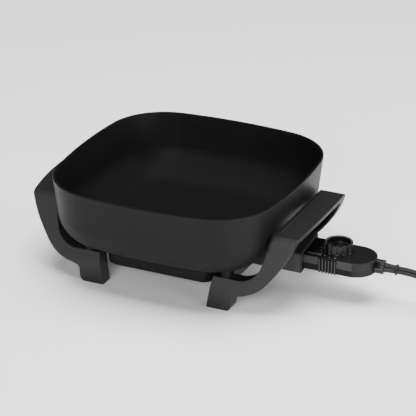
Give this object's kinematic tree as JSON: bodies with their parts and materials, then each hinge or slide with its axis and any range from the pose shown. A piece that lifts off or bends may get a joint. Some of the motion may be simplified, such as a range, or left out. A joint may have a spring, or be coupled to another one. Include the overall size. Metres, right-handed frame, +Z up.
{
  "type": "electric skillet",
  "caption": "Deep square skillet on leg-and-handle mouldings, with a plug-in temperature control, a turning dial and a coiled mains cord.",
  "frame": {"origin": "middle of the footprint of the skillet with its control plugged in and without its cord, on the table under its feet", "axes": "+X from the pan towards the plug-in control, +Y to the back, +Z up"},
  "size_m": [0.6748, 0.2998, 0.1377],
  "materials": {
    "pan_body": "satin black non-stick coating",
    "heating_element": "dull heat-stained steel sheath",
    "terminal_insulators": "off-white fired ceramic",
    "terminal_pins": "bright nickel-plated pins",
    "right_handle_frame": "black moulded phenolic, fine matte",
    "left_handle_frame": "black moulded phenolic, fine matte",
    "leg_screws": "zinc-plated steel",
    "terminal_guard": "black moulded phenolic, satin",
    "guard_screws": "zinc-plated steel",
    "control_base": "black moulded phenolic, satin",
    "control_cover": "black moulded phenolic, semi-gloss",
    "control_screws": "zinc-plated steel",
    "contact_block": "black moulded phenolic",
    "contact_sleeves": "plain brass",
    "sensor_probe": "bright steel tube",
    "thermostat_frame": "zinc-plated steel strip",
    "thermostat_spacers": "pale ceramic",
    "lower_contact_leaf": "spring brass with a silver button",
    "upper_contact_leaf": "spring brass with a silver button",
    "signal_lens": "tinted translucent lens",
    "signal_lamp": "clear glass neon tube",
    "strain_relief": "black moulded flexible relief",
    "power_cord": "black flexible sheath",
    "cord_coil": "black flexible sheath",
    "cord_tie": "dark plain strap",
    "plug_body": "black moulded plug",
    "plug_blades": "plain brass blades",
    "temperature_dial": "black moulded phenolic, semi-gloss",
    "dial_spindle": "turned steel"
  },
  "bodies": {
    "skillet": {"pan_body": "pan_body", "heating_element": "heating_element", "terminal_insulators": "terminal_insulators", "terminal_pins": "terminal_pins", "right_handle_frame": "right_handle_frame", "left_handle_frame": "left_handle_frame", "leg_screws": "leg_screws", "terminal_guard": "terminal_guard", "guard_screws": "guard_screws"},
    "control": {"control_base": "control_base", "control_cover": "control_cover", "control_screws": "control_screws", "contact_block": "contact_block", "contact_sleeves": "contact_sleeves", "sensor_probe": "sensor_probe", "thermostat_frame": "thermostat_frame", "thermostat_spacers": "thermostat_spacers", "lower_contact_leaf": "lower_contact_leaf", "upper_contact_leaf": "upper_contact_leaf", "signal_lens": "signal_lens", "signal_lamp": "signal_lamp", "strain_relief": "strain_relief", "power_cord": "power_cord", "cord_coil": "cord_coil", "cord_tie": "cord_tie", "plug_body": "plug_body", "plug_blades": "plug_blades"},
    "dial": {"temperature_dial": "temperature_dial", "dial_spindle": "dial_spindle"}
  },
  "joints": [
    {"name": "control_slide", "type": "slide", "parent": "skillet", "child": "control", "axis": [1, 0, 0], "range_m": [0, 0.115]},
    {"name": "dial_turn", "type": "hinge", "parent": "control", "child": "dial", "pos_m": [0.16735, 0, 0.065], "axis": [0, 0, -1], "range_deg": [0, 270]}
  ]
}
